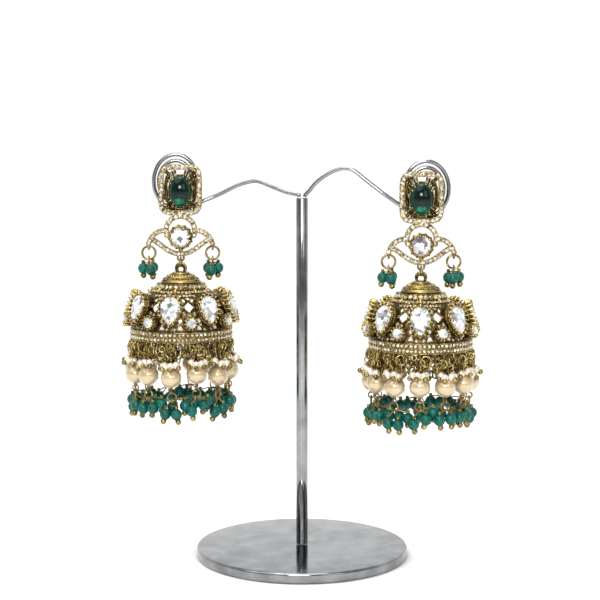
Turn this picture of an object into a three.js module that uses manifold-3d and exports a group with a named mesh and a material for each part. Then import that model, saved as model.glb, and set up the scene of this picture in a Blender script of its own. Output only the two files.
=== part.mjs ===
// A pair of jhumka earrings hanging on a two-armed wire display stand. Millimetres, +Z up.
// The front faces -Y, and the origin is the centre of the underside of the stand's base.
import * as THREE from 'three';
import { mergeVertices } from 'three/addons/utils/BufferGeometryUtils.js';
import Module from 'manifold-3d';

const wasm = await Module();
wasm.setup();

// Clearances
const SEAT_GAP = 0.3; // between two pieces that rest on each other
const LINK_GAP = 0.25; // between two interlocked rings

// Stand
const BASE_RADIUS = 32;
const BASE_THICKNESS = 3;
const BASE_EDGE = 0.7;
const POST_RADIUS = 1.75;
const POST_HEIGHT = 105.5;
const ARM_WIRE_RADIUS = 0.6;
const ARM_START = 0.85; // from the post's axis to each arm's wire on its top face

// Spiral coil at the end of each arm, in the plane of the earring's stud
const COIL_HALF_HEIGHT = 8.9; // centreline, where the arm runs into the first turn
const COIL_FLATNESS = 0.83; // width over height
const COIL_PITCH = 1.86; // by which the half height shrinks in each turn
const COIL_TURNS = 2.1;
const COIL_ENTRY_DEG = 66; // below the horizontal, on the post's side

// Stud: a frame of small stones round an oval cabochon
const FRAME_WIDTH = 13;
const FRAME_HEIGHT = 15.2;
const FRAME_SQUARENESS = 4.2; // exponent of the rounded rectangle
const BAR_WIDTH = 1.5;
const PLATE_DEPTH = 1.8;
const CABOCHON_WIDTH = 6.5;
const CABOCHON_HEIGHT = 9.6;
const CABOCHON_RISE = 3.2;
const CABOCHON_GIRDLE = 0.8;
const CABOCHON_DROP = 0.5; // below the frame's centre
const SEAT_MARGIN = 0.5; // by which the cabochon's plate stands out round it
const SEAT_DEPTH = 0.7;
const CLAW_WIDTH = 1.0;
const EAR_POST_RADIUS = 0.45;
const EAR_POST_DROP = 0.75; // below the cabochon's centre
const EAR_NUT_RADIUS = 2.4;
const EAR_NUT_THICKNESS = 1.0;

// Connector: arch, collet with a round stone, two wings and a swoop
const ARCH_RADIUS = 4.3;
const ARCH_SPREAD_DEG = 20; // how far the arch runs on below its centre
const SOLDER = 0.5; // by which soldered bars run into each other
const COLLET_RADIUS = 3.4;
const COLLET_WALL = 0.45;
const COLLET_DROP = 2.0; // below the arch's centre
const COLLET_TO_SWOOP = 0.9;
const ROUND_STONE_RISE = 0.9;
const WING_REACH = 9.6;
const SWOOP_RISE = 4.6;
const WING_TAIL = 1.5; // from the swoop's end down to the wing's tip

// Rings
const LOOP_RADIUS = 0.95; // small soldered eyes and bead loops, centreline
const LOOP_WIRE = 0.3;
const SIDE_RING_RADIUS = 2.0;
const SIDE_RING_WIRE = 0.35;
const LINK_WIRE = 0.3;
const BAIL_RADIUS = 1.4;
const BAIL_WIRE = 0.35;

// Dome, measured down from its top
const DOME_RADIUS = 14.7; // outside, just above the rim band
const DOME_HEIGHT = 16.5; // top of the cap to the rim band
const DOME_WALL = 0.95;
const BAND_HEIGHT = 3.2;
const BAND_RELIEF = 0.6;
const CAP_RADIUS = 5.9;
const CAP_HEIGHT = 2.9;
const LARGE_STONES = 8;
const LARGE_STONE_WIDTH = 6.4;
const LARGE_STONE_HEIGHT = 9.2;
const LARGE_STONE_DEPTH = 10.0; // centre below the dome's top
const LARGE_STONE_STANDOFF = 0.8; // face centre outside the rim's radius
const LARGE_STONE_TILT_DEG = 17;
const SMALL_STONE_RADIUS = 2.1;
const SMALL_STONE_LIFT = 2.9; // centre above the rim band
const SMALL_STONE_STANDOFF = 2.2;
const SMALL_STONE_TILT_DEG = 8;
const STONE_INSET = 0.55; // width of a setting's metal edge
const STONE_CROWN = 0.7;
const GAP_WIDTH = 2.5; // diamond-shaped piercing between two large stones
const GAP_HEIGHT = 2.5;
const FOOT_GAP_WIDTH = 1.9; // triangular piercing beside a large stone's tip
const FOOT_GAP_HEIGHT = 1.5;
const FOOT_GAP_ANGLE_DEG = 11.25;

// Fringe
const STRANDS = 12;
const CHAIN_RADIUS = 0.65; // outside of the fine link chain
const CHAIN_LENGTH = 6.3;
const PEARL_RADIUS = 3.05;
const LOWER_CHAIN_LENGTH = 6.6; // pearl to the middle of the bead cluster
const BEAD_RADIUS = 1.5;
const CLUSTER_RADIUS = 1.75; // from a cluster's middle to each bead's centre
const SIDE_BEADS = 3; // in each small drop beside the connector
const FRINGE_BEADS = 2; // at each strand's end
const SIDE_CLUSTER_DROP = 2.2; // from the loop's lower edge to the beads' centres

// Where each earring hangs: the arm's reach and rise, and how its parts are turned
const SIDES = [
  { name: 'left', way: -1, reach: 37.7, crest: 4.0, coilRise: 5.0, depth: 5, turnDeg: -8 },
  { name: 'right', way: 1, reach: 36.3, crest: 7.9, coilRise: 3.1, depth: -5, turnDeg: -5 },
];
const STUD_OFFSET = 1.2; // from the coil's centre back towards the post
// Each arm's route before its coil: across as shares of its reach, heights as shares of its crest
const ARM_ROUTE = [
  { across: 0.055, left: 0.06, right: 0.13 },
  { across: 0.12, left: 0.18, right: 0.48 },
  { across: 0.25, left: 0.65, right: 0.88 },
  { across: 0.355, left: 1.0, right: 1.0 },
  { across: 0.42, left: 0.94, right: 0.92 },
  { across: 0.51, left: 0.68, right: 0.6 },
  { across: 0.66, left: 0.0, right: 0.07 },
  { across: 0.8, left: -0.55, right: -0.38 },
];
const ARM_SWING = 0.66; // share of its reach in which an arm comes into its coil's plane

// Facets
const BEAD_SIDES = 10;
const BEAD_BANDS = 3;
const ODD_BAND_GROWTH = 1.08;
const PEARL_BANDS = 4;
const WIRE_SIDES = 5;
const CHAIN_SIDES = 4;
const RING_SIDES = 10;
const DOME_SIDES = 16;

const GOLD = new THREE.MeshStandardMaterial({ color: 0x9a8048, roughness: 0.38, metalness: 1 });
const CHROME = new THREE.MeshStandardMaterial({ color: 0xc8cacc, roughness: 0.12, metalness: 1 });
const EMERALD = new THREE.MeshStandardMaterial({ color: 0x04503a, roughness: 0.08, metalness: 0 });
const CRYSTAL = new THREE.MeshStandardMaterial({ color: 0xf2f2f0, roughness: 0.05, metalness: 0 });
const PEARL = new THREE.MeshStandardMaterial({ color: 0xe9d9b8, roughness: 0.28, metalness: 0 });
const GREEN_GLASS = new THREE.MeshStandardMaterial({ color: 0x067a63, roughness: 0.2, metalness: 0 });

const radians = THREE.MathUtils.degToRad;

// Solids: a geometry becomes a solid for joining and cutting, and a mesh again at the end
function solid(geometry) {
  const bare = geometry.clone();
  bare.deleteAttribute('normal');
  bare.deleteAttribute('uv');
  const merged = mergeVertices(bare, 1e-4);
  const made = new wasm.Manifold(new wasm.Mesh({
    numProp: 3,
    vertProperties: merged.attributes.position.array,
    triVerts: new Uint32Array(merged.index.array),
  }));
  return made;
}

function join(...geometries) {
  return geometries.map((g) => (g.isBufferGeometry ? solid(g) : g)).reduce((a, b) => a.add(b));
}

function mesh(name, shape, material) {
  let geometry = shape;
  if (!shape.isBufferGeometry) {
    const { vertProperties, triVerts } = shape.getMesh();
    geometry = new THREE.BufferGeometry();
    geometry.setAttribute('position', new THREE.BufferAttribute(new Float32Array(vertProperties), 3));
    geometry.setIndex(new THREE.BufferAttribute(new Uint32Array(triVerts), 1));
  }
  const made = new THREE.Mesh(geometry, material);
  made.name = name;
  return made;
}

// A flat shape drawn across and up, given a depth centred on y = 0
function plate(shape, depth) {
  return new THREE.ExtrudeGeometry(shape, { depth, bevelEnabled: false, curveSegments: 1 })
    .rotateX(Math.PI / 2)
    .translate(0, depth / 2, 0);
}

// A bar of constant width along a flat curve
function ribbon(curve, width, steps, depth) {
  const left = [];
  const right = [];
  for (let i = 0; i <= steps; i++) {
    const at = curve.getPointAt(i / steps);
    const along = curve.getTangentAt(i / steps);
    const side = new THREE.Vector2(-along.y, along.x).multiplyScalar(width / 2);
    left.push(at.clone().add(side));
    right.unshift(at.clone().sub(side));
  }
  return plate(new THREE.Shape([...left, ...right]), depth);
}

function lathe(profile, sides) {
  const points = profile.map(([radius, height]) => new THREE.Vector2(radius, height));
  return new THREE.LatheGeometry(points, sides).rotateX(Math.PI / 2);
}

function wire(curve, radius, sides, steps) {
  const section = new THREE.Shape();
  for (let i = 0; i < sides; i++) {
    const a = (2 * Math.PI * i) / sides;
    section[i ? 'lineTo' : 'moveTo'](radius * Math.cos(a), radius * Math.sin(a));
  }
  section.closePath();
  return new THREE.ExtrudeGeometry(section, { steps, extrudePath: curve, bevelEnabled: false });
}

// A ring seen as a circle from the front, or turned edge-on
function ring(radius, wireRadius, edgeOn = false) {
  const made = new THREE.TorusGeometry(radius, wireRadius, WIRE_SIDES, RING_SIDES).rotateX(Math.PI / 2);
  return edgeOn ? made.rotateZ(Math.PI / 2) : made;
}

// A round bead. With an odd number of bands it has no ring at its middle, so it is made larger.
function ball(radius, bands) {
  const size = bands % 2 ? radius * ODD_BAND_GROWTH : radius;
  return new THREE.SphereGeometry(size, BEAD_SIDES, bands).rotateX(Math.PI / 2);
}

function pin(radius, low, high) {
  return new THREE.CylinderGeometry(radius, radius, high - low, CHAIN_SIDES)
    .rotateX(Math.PI / 2)
    .translate(0, 0, (low + high) / 2);
}

// Points of a rounded rectangle, counter-clockwise
function roundedRectangle(width, height, squareness, count) {
  const power = 2 / squareness;
  return Array.from({ length: count }, (_, i) => {
    const a = (2 * Math.PI * (i + 0.5)) / count;
    const c = Math.cos(a);
    const s = Math.sin(a);
    return new THREE.Vector2(
      (width / 2) * Math.sign(c) * Math.abs(c) ** power,
      (height / 2) * Math.sign(s) * Math.abs(s) ** power,
    );
  });
}

function ovalPoints(width, height, count) {
  return roundedRectangle(width, height, 2, count);
}

// Stand
const postTop = BASE_THICKNESS + POST_HEIGHT;

function baseDisc() {
  return lathe([
    [0, 0],
    [BASE_RADIUS, 0],
    [BASE_RADIUS, BASE_THICKNESS - BASE_EDGE],
    [BASE_RADIUS - BASE_EDGE, BASE_THICKNESS],
    [0, BASE_THICKNESS],
  ], 24);
}

function post() {
  const low = BASE_THICKNESS + SEAT_GAP;
  return lathe([
    [0, low],
    [POST_RADIUS, low],
    [POST_RADIUS, postTop],
    [0, postTop],
  ], 12);
}

// Half height of the coil after a number of turns
function coilHalfHeight(turns) {
  return COIL_HALF_HEIGHT - COIL_PITCH * turns;
}

function coilCentre(side) {
  return new THREE.Vector3(side.way * side.reach, side.depth, postTop + side.coilRise);
}

function arm(side) {
  const centre = coilCentre(side);
  const points = [
    new THREE.Vector3(side.way * ARM_START, 0, postTop + SEAT_GAP),
    new THREE.Vector3(side.way * ARM_START * 1.2, 0, postTop + SEAT_GAP + ARM_WIRE_RADIUS),
  ];
  for (const row of ARM_ROUTE) {
    points.push(new THREE.Vector3(
      side.way * side.reach * row.across,
      side.depth * Math.min(1, row.across / ARM_SWING),
      postTop + SEAT_GAP + ARM_WIRE_RADIUS + side.crest * row[side.name],
    ));
  }
  const turnSteps = 12;
  const steps = Math.round(COIL_TURNS * turnSteps);
  const coil = [];
  for (let i = 0; i <= steps; i++) {
    const turns = i / turnSteps;
    const a = -radians(COIL_ENTRY_DEG) - 2 * Math.PI * turns;
    const high = coilHalfHeight(turns);
    coil.push(new THREE.Vector3(
      centre.x - side.way * high * COIL_FLATNESS * Math.cos(a),
      centre.y,
      centre.z + high * Math.sin(a),
    ));
  }
  const route = new THREE.CatmullRomCurve3([...points, ...coil], false, 'centripetal');
  return wire(route, ARM_WIRE_RADIUS, WIRE_SIDES, 42);
}

// Stud and connector. Heights are measured from the cabochon's centre.
const frameBottom = -FRAME_HEIGHT / 2;
const archZ = frameBottom - ARCH_RADIUS - BAR_WIDTH / 2 + SOLDER;
const colletZ = archZ - COLLET_DROP;
const swoopZ = colletZ - COLLET_RADIUS - COLLET_TO_SWOOP - BAR_WIDTH / 2;
const swoopEndZ = swoopZ + SWOOP_RISE;
const wingTipZ = swoopEndZ - WING_TAIL;
const seatFront = -PLATE_DEPTH / 2 + SEAT_DEPTH; // front face of the cabochon's plate
const coilY = PLATE_DEPTH / 2 + SEAT_GAP + ARM_WIRE_RADIUS; // the coil's plane, behind the stud
const nutY = coilY + ARM_WIRE_RADIUS + SEAT_GAP;

// Half of the swoop, from its lowest point out: shares of the wings' reach and of its rise
const SWOOP_ROUTE = [
  { across: 0.0, up: 0.0 },
  { across: 0.16, up: 0.04 },
  { across: 0.32, up: 0.16 },
  { across: 0.48, up: 0.36 },
  { across: 0.64, up: 0.61 },
  { across: 0.8, up: 0.85 },
  { across: 0.95, up: 1.0 },
];
// A wing from the arch out to its tip: shares of the way out and of the drop
const WING_ROUTE = [
  { out: 0.0, down: 0.0 },
  { out: 0.3, down: 0.03 },
  { out: 0.6, down: 0.22 },
  { out: 0.86, down: 0.58 },
  { out: 1.0, down: 1.0 },
];

function studFrame() {
  const outline = new THREE.Shape(roundedRectangle(FRAME_WIDTH, FRAME_HEIGHT, FRAME_SQUARENESS, 20));
  outline.holes.push(new THREE.Path(roundedRectangle(
    FRAME_WIDTH - 2 * BAR_WIDTH,
    FRAME_HEIGHT - 2 * BAR_WIDTH,
    FRAME_SQUARENESS,
    20,
  )));
  return plate(outline, PLATE_DEPTH);
}

function cabochonPlate() {
  const outline = new THREE.Shape(ovalPoints(
    CABOCHON_WIDTH + 2 * SEAT_MARGIN,
    CABOCHON_HEIGHT + 2 * SEAT_MARGIN,
    14,
  ));
  return plate(outline, SEAT_DEPTH).translate(0, (PLATE_DEPTH - SEAT_DEPTH) / 2, -CABOCHON_DROP);
}

// A bar from the frame's corner in to the cabochon's plate
function claw(across, up) {
  const corner = new THREE.Vector2(across * (FRAME_WIDTH / 2 - BAR_WIDTH), up * (FRAME_HEIGHT / 2 - BAR_WIDTH));
  const inner = new THREE.Vector2(across * CABOCHON_WIDTH / 2, up * CABOCHON_HEIGHT / 2).multiplyScalar(0.72);
  const bar = ribbon(new THREE.LineCurve(inner, corner), CLAW_WIDTH, 1, SEAT_DEPTH);
  return bar.translate(0, (PLATE_DEPTH - SEAT_DEPTH) / 2, 0);
}

function earPost() {
  const start = (PLATE_DEPTH - SEAT_DEPTH) / 2;
  const shaft = new THREE.CylinderGeometry(EAR_POST_RADIUS, EAR_POST_RADIUS, nutY + SOLDER - start, 6)
    .translate(0, (nutY + SOLDER + start) / 2, -EAR_POST_DROP);
  const nut = new THREE.CylinderGeometry(EAR_NUT_RADIUS, EAR_NUT_RADIUS, EAR_NUT_THICKNESS, 10)
    .translate(0, nutY + EAR_NUT_THICKNESS / 2, -EAR_POST_DROP);
  return join(shaft, nut);
}

function arch() {
  const spread = radians(ARCH_SPREAD_DEG);
  const curve = new THREE.EllipseCurve(0, archZ, ARCH_RADIUS, ARCH_RADIUS, -spread, Math.PI + spread);
  return ribbon(curve, BAR_WIDTH, 8, PLATE_DEPTH);
}

function wing(way) {
  const start = new THREE.Vector2(ARCH_RADIUS, archZ);
  const points = WING_ROUTE.map(({ out, down }) => new THREE.Vector2(
    way * (start.x + (WING_REACH - start.x) * out),
    start.y + (wingTipZ - start.y) * down,
  ));
  return ribbon(new THREE.SplineCurve(points), BAR_WIDTH, 5, PLATE_DEPTH);
}

function swoop() {
  const half = SWOOP_ROUTE.map(({ across, up }) => new THREE.Vector2(WING_REACH * across, swoopZ + SWOOP_RISE * up));
  const mirrored = half.slice(1).reverse().map((p) => new THREE.Vector2(-p.x, p.y));
  return ribbon(new THREE.SplineCurve([...mirrored, ...half]), BAR_WIDTH, 12, PLATE_DEPTH);
}

// An open cup for the round stone, facing the front
function collet() {
  const cup = lathe([
    [0, -PLATE_DEPTH / 2],
    [COLLET_RADIUS, -PLATE_DEPTH / 2],
    [COLLET_RADIUS, PLATE_DEPTH / 2],
    [COLLET_RADIUS - COLLET_WALL, PLATE_DEPTH / 2],
    [COLLET_RADIUS - COLLET_WALL, 0],
    [0, 0],
  ], 10).rotateX(Math.PI / 2).translate(0, 0, colletZ);
  const foot = ribbon(
    new THREE.LineCurve(new THREE.Vector2(0, colletZ - COLLET_RADIUS + SOLDER), new THREE.Vector2(0, swoopZ)),
    BAR_WIDTH * 0.8,
    1,
    PLATE_DEPTH * 0.8,
  );
  return join(cup, foot);
}

function cabochon() {
  const profile = [[0, 0], [1, 0], [1, CABOCHON_GIRDLE]];
  const bands = 3;
  for (let i = 1; i < bands; i++) {
    const a = (Math.PI / 2) * (i / bands);
    profile.push([Math.cos(a), CABOCHON_GIRDLE + (CABOCHON_RISE - CABOCHON_GIRDLE) * Math.sin(a)]);
  }
  profile.push([0, CABOCHON_RISE]);
  return lathe(profile, 14)
    .rotateX(Math.PI / 2)
    .scale(CABOCHON_WIDTH / 2, 1, CABOCHON_HEIGHT / 2)
    .translate(0, seatFront - SEAT_GAP, -CABOCHON_DROP);
}

function roundStone() {
  const radius = COLLET_RADIUS - COLLET_WALL - SEAT_GAP;
  return lathe([
    [0, 0],
    [radius * 0.7, 0],
    [radius, PLATE_DEPTH / 2],
    [radius * 0.62, ROUND_STONE_RISE + PLATE_DEPTH / 2],
    [0, ROUND_STONE_RISE + PLATE_DEPTH / 2],
  ], 10).rotateX(Math.PI / 2).translate(0, -SEAT_GAP, colletZ);
}

// The chain of rings that holds the dome, from the connector down
const eyeZ = swoopZ - BAR_WIDTH / 2 - LINK_WIRE - LINK_GAP / 2;
const linkRadius = (3 * LINK_GAP + 2 * LOOP_WIRE + 2 * BAIL_WIRE) / 2 + LINK_WIRE;
const bailTopZ = eyeZ - 2 * linkRadius + LINK_WIRE + BAIL_WIRE + LINK_GAP;
const bailZ = bailTopZ - BAIL_RADIUS;
const domeTop = bailZ - BAIL_RADIUS - BAIL_WIRE + SOLDER;
const lugX = WING_REACH;
const lugZ = wingTipZ - LOOP_RADIUS + LOOP_WIRE / 2;
const sideRingZ = lugZ - SIDE_RING_RADIUS;
const sideLoopZ = sideRingZ - SIDE_RING_RADIUS;

function studSolid() {
  return join(
    studFrame(),
    cabochonPlate(),
    claw(1, 1),
    claw(1, -1),
    claw(-1, 1),
    claw(-1, -1),
    earPost(),
    arch(),
    wing(1),
    wing(-1),
    swoop(),
    collet(),
    ring(LOOP_RADIUS, LOOP_WIRE).translate(0, 0, eyeZ),
    ring(LOOP_RADIUS, LOOP_WIRE, true).translate(lugX, 0, lugZ),
    ring(LOOP_RADIUS, LOOP_WIRE, true).translate(-lugX, 0, lugZ),
  );
}

// Beads round a middle point, the first of them at an angle from the front
function beadCluster(count, angle, z) {
  const beads = Array.from({ length: count }, (_, i) => ball(BEAD_RADIUS, BEAD_BANDS)
    .translate(0, -CLUSTER_RADIUS, 0)
    .rotateZ(angle + (2 * Math.PI * i) / count)
    .translate(0, 0, z));
  return join(...beads);
}

function sideCluster() {
  const loopBottom = sideLoopZ - LOOP_RADIUS;
  const beadZ = loopBottom - SIDE_CLUSTER_DROP;
  return join(
    ring(LOOP_RADIUS, LOOP_WIRE, true).translate(0, 0, sideLoopZ),
    pin(CHAIN_RADIUS, beadZ, loopBottom),
    beadCluster(SIDE_BEADS, 0, beadZ),
  );
}

// Dome. Each row is an outside radius as a share of the span from cap to rim, and a drop below
// the cap as a share of the height that is left
const DOME_CURVE = [
  { out: 0.12, down: 0.04 },
  { out: 0.2, down: 0.15 },
  { out: 0.68, down: 0.39 },
  { out: 0.88, down: 0.61 },
  { out: 1.0, down: 1.0 },
];
// The cap's steps from its top: shares of its radius and height
const CAP_STEPS = [
  { out: 0.4, down: 0.0 },
  { out: 0.42, down: 0.22 },
  { out: 0.72, down: 0.42 },
  { out: 0.76, down: 0.66 },
  { out: 1.0, down: 0.8 },
];
const bandTop = domeTop - DOME_HEIGHT;
const bandBottom = bandTop - BAND_HEIGHT;
const bandRadius = DOME_RADIUS + BAND_RELIEF;

function domeCurve(inset) {
  return DOME_CURVE.map(({ out, down }) => [
    CAP_RADIUS + (DOME_RADIUS - CAP_RADIUS) * out - inset,
    domeTop - CAP_HEIGHT - (DOME_HEIGHT - CAP_HEIGHT) * down,
  ]);
}

function domeOutside() {
  const down = [
    [0, domeTop],
    ...CAP_STEPS.map((step) => [CAP_RADIUS * step.out, domeTop - CAP_HEIGHT * step.down]),
    ...domeCurve(0),
    [bandRadius, bandTop],
    [bandRadius, bandBottom],
    [0, bandBottom],
  ];
  return lathe(down.reverse(), DOME_SIDES);
}

function domeInside() {
  const curve = domeCurve(DOME_WALL);
  const last = curve[curve.length - 1];
  const down = [
    [0, curve[1][1] - DOME_WALL],
    [curve[1][0], curve[1][1] - DOME_WALL],
    ...curve.slice(2),
    [last[0], bandBottom - DOME_WALL],
    [0, bandBottom - DOME_WALL],
  ];
  return lathe(down.reverse(), DOME_SIDES);
}

// A pear shape with its tip down
function pearPoints(width, height, count) {
  const radius = width / 2;
  const top = height / 2 - radius;
  const points = [new THREE.Vector2(0, -height / 2)];
  for (let i = 0; i < count; i++) {
    const a = radians(-20) + (radians(220) * i) / (count - 1);
    points.push(new THREE.Vector2(radius * Math.cos(a), top + radius * Math.sin(a)));
  }
  return points;
}

// A setting that runs back into the dome, with a cut stone standing out of its face
function setStone(outline, stoneOutline, reach) {
  const setting = new THREE.ExtrudeGeometry(new THREE.Shape(outline), { depth: reach, bevelEnabled: false })
    .translate(0, 0, -reach);
  const stone = new THREE.ExtrudeGeometry(new THREE.Shape(stoneOutline), {
    depth: reach / 4,
    bevelEnabled: true,
    bevelSegments: 1,
    bevelThickness: STONE_CROWN,
    bevelSize: STONE_CROWN,
    bevelOffset: -STONE_CROWN,
  }).translate(0, 0, -reach / 4);
  return join(setting.rotateX(Math.PI / 2), stone.rotateX(Math.PI / 2));
}

function aroundDome(made, tiltDeg, radius, z, angleDeg) {
  return made.rotate([-tiltDeg, 0, 0]).translate([0, -radius, z]).rotate([0, 0, angleDeg]);
}

function largeSettings() {
  const radius = bandRadius + LARGE_STONE_STANDOFF - BAND_RELIEF;
  const inner = 2 * STONE_INSET;
  const made = setStone(
    pearPoints(LARGE_STONE_WIDTH, LARGE_STONE_HEIGHT, 7),
    pearPoints(LARGE_STONE_WIDTH - inner, LARGE_STONE_HEIGHT - 1.6 * inner, 7),
    LARGE_STONE_WIDTH,
  );
  return Array.from({ length: LARGE_STONES }, (_, i) => aroundDome(
    made,
    LARGE_STONE_TILT_DEG,
    radius,
    domeTop - LARGE_STONE_DEPTH,
    (360 * i) / LARGE_STONES,
  ));
}

function smallSettings() {
  const outline = ovalPoints(2 * SMALL_STONE_RADIUS, 2 * SMALL_STONE_RADIUS, 8);
  const made = setStone(outline, outline, 2.1 * SMALL_STONE_RADIUS);
  return Array.from({ length: LARGE_STONES }, (_, i) => aroundDome(
    made,
    SMALL_STONE_TILT_DEG,
    bandRadius + SMALL_STONE_STANDOFF - BAND_RELIEF,
    bandTop + SMALL_STONE_LIFT,
    (360 * (i + 0.5)) / LARGE_STONES,
  ));
}

// Piercings: straight cuts from outside, shorter than the dome's radius
function piercing(points, z, angleDeg) {
  const reach = DOME_RADIUS * 0.6;
  const cut = new THREE.ExtrudeGeometry(new THREE.Shape(points), { depth: reach, bevelEnabled: false })
    .rotateX(Math.PI / 2)
    .translate(0, -DOME_RADIUS * 0.6, z)
    .rotateZ(radians(angleDeg));
  return solid(cut);
}

function piercings() {
  const diamond = [[0, -GAP_HEIGHT / 2], [GAP_WIDTH / 2, 0], [0, GAP_HEIGHT / 2], [-GAP_WIDTH / 2, 0]]
    .map(([x, y]) => new THREE.Vector2(x, y));
  const triangle = [[-FOOT_GAP_WIDTH / 2, 0], [FOOT_GAP_WIDTH / 2, 0], [0, FOOT_GAP_HEIGHT]]
    .map(([x, y]) => new THREE.Vector2(x, y));
  const smallStoneTop = bandTop + SMALL_STONE_LIFT + SMALL_STONE_RADIUS;
  const cuts = [];
  for (let i = 0; i < LARGE_STONES; i++) {
    const at = (360 * i) / LARGE_STONES;
    cuts.push(piercing(diamond, smallStoneTop + STONE_INSET + GAP_HEIGHT / 2, at + 180 / LARGE_STONES));
    cuts.push(piercing(triangle, bandTop + BAND_RELIEF, at + FOOT_GAP_ANGLE_DEG));
    cuts.push(piercing(triangle, bandTop + BAND_RELIEF, at - FOOT_GAP_ANGLE_DEG));
  }
  return cuts;
}

function dome() {
  let made = join(domeOutside(), ...largeSettings(), ...smallSettings());
  made = made.subtract(solid(domeInside()));
  for (const cut of piercings()) made = made.subtract(cut);
  return made.add(solid(ring(BAIL_RADIUS, BAIL_WIRE).translate(0, 0, bailZ)));
}

// A strand of the fringe: fine chain, large pearl, fine chain and a pair of beads side by side
function strand() {
  const top = bandBottom - SEAT_GAP;
  const pearlZ = top - CHAIN_LENGTH - PEARL_RADIUS;
  const beadZ = pearlZ - PEARL_RADIUS - LOWER_CHAIN_LENGTH;
  const sink = PEARL_RADIUS * 0.2;
  return join(
    pin(CHAIN_RADIUS, pearlZ + PEARL_RADIUS - sink, top),
    ball(PEARL_RADIUS, PEARL_BANDS).translate(0, 0, pearlZ),
    pin(CHAIN_RADIUS, beadZ, pearlZ - PEARL_RADIUS + sink),
    beadCluster(FRINGE_BEADS, Math.PI / 2, beadZ),
  );
}

function earring(side) {
  const group = new THREE.Group();
  const put = (name, shape, material) => {
    const made = mesh(`${side.name}_${name}`, shape, material);
    group.add(made);
    return made;
  };
  put('stud_frame', studSolid(), GOLD);
  put('cabochon', cabochon(), EMERALD);
  put('round_stone', roundStone(), CRYSTAL);
  const sideDrop = sideCluster();
  for (const [place, x] of [['outer', side.way * lugX], ['inner', -side.way * lugX]]) {
    put(`${place}_ring`, ring(SIDE_RING_RADIUS, SIDE_RING_WIRE), GOLD).position.set(x, 0, sideRingZ);
    put(`${place}_drop`, sideDrop, GREEN_GLASS).position.set(x, 0, 0);
  }
  put('link', ring(linkRadius, LINK_WIRE, true), GOLD).position.set(0, 0, eyeZ - linkRadius);

  const bell = new THREE.Group();
  bell.rotation.z = radians(side.turnDeg);
  bell.add(mesh(`${side.name}_dome`, dome(), GOLD));
  const hanging = strand();
  const strandRadius = bandRadius - (BAND_RELIEF + DOME_WALL) / 2;
  for (let i = 0; i < STRANDS; i++) {
    const angle = (2 * Math.PI * i) / STRANDS;
    const made = mesh(`${side.name}_strand_${String(i + 1).padStart(2, '0')}`, hanging, PEARL);
    made.position.set(strandRadius * Math.sin(angle), -strandRadius * Math.cos(angle), 0);
    made.rotation.z = angle;
    bell.add(made);
  }
  group.add(bell);

  // The ear post rests on the coil's innermost turn
  const centre = coilCentre(side);
  const lowestTurns = Math.floor(COIL_TURNS) + (0.25 - COIL_ENTRY_DEG / 360);
  const innerHeight = coilHalfHeight(lowestTurns);
  const across = STUD_OFFSET / (innerHeight * COIL_FLATNESS);
  const wireZ = centre.z - innerHeight * Math.sqrt(1 - across * across);
  group.position.set(
    centre.x - side.way * STUD_OFFSET,
    centre.y - coilY,
    wireZ + ARM_WIRE_RADIUS + SEAT_GAP + EAR_POST_RADIUS + EAR_POST_DROP,
  );
  return group;
}

const model = new THREE.Group();
model.add(mesh('stand_base', baseDisc(), CHROME));
model.add(mesh('stand_post', post(), CHROME));
for (const side of SIDES) {
  model.add(mesh(`${side.name}_arm`, arm(side), CHROME));
  model.add(earring(side));
}

export default model;
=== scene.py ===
import math
from functools import lru_cache

import bpy
import numpy as np
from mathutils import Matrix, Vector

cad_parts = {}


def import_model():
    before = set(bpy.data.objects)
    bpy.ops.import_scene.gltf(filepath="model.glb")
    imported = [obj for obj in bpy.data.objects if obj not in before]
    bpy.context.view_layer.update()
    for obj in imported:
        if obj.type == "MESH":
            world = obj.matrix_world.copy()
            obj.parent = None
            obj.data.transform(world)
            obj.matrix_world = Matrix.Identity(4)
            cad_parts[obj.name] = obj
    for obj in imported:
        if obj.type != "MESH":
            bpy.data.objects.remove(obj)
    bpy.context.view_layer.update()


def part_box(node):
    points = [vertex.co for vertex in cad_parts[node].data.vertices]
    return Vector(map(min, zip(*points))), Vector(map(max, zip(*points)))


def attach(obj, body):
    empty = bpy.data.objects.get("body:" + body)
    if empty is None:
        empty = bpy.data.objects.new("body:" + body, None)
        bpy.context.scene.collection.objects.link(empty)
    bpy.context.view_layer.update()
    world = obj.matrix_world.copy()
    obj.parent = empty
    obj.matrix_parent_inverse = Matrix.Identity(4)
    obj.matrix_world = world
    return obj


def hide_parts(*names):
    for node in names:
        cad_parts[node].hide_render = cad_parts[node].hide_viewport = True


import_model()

# Looks of a pair of jhumka earrings on a wire stand. Forms and places are in millimetres, mostly
# from the centre of each earring's stud frame, and Build.object writes them in metres. The studio
# at the end is in metres.

RNG = np.random.default_rng(7)
SIDES = {"left": (-1, -8.0), "right": (1, -5.0)}  # which way the arm runs, turn of the dome
POST_TOP = 108.5  # above the table

# Heights in an earring, below the stud frame's centre
ARCH_Z, COLLET_Z, SWOOP_Z, WING_TIP_Z = -12.15, -14.15, -19.2, -16.1
EYE_Z, LINK_Z, BAIL_Z = -20.375, -21.7, -23.525
SIDE_RING_Z, SIDE_LOOP_Z, SIDE_BEAD_Z = -18.9, -20.9, -24.05
STONE_DROP = 0.5  # of the oval stone below its frame's centre
PEARL_Z, BEAD_Z, STRAND_RADIUS = -54.125, -63.775, 14.525

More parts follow.
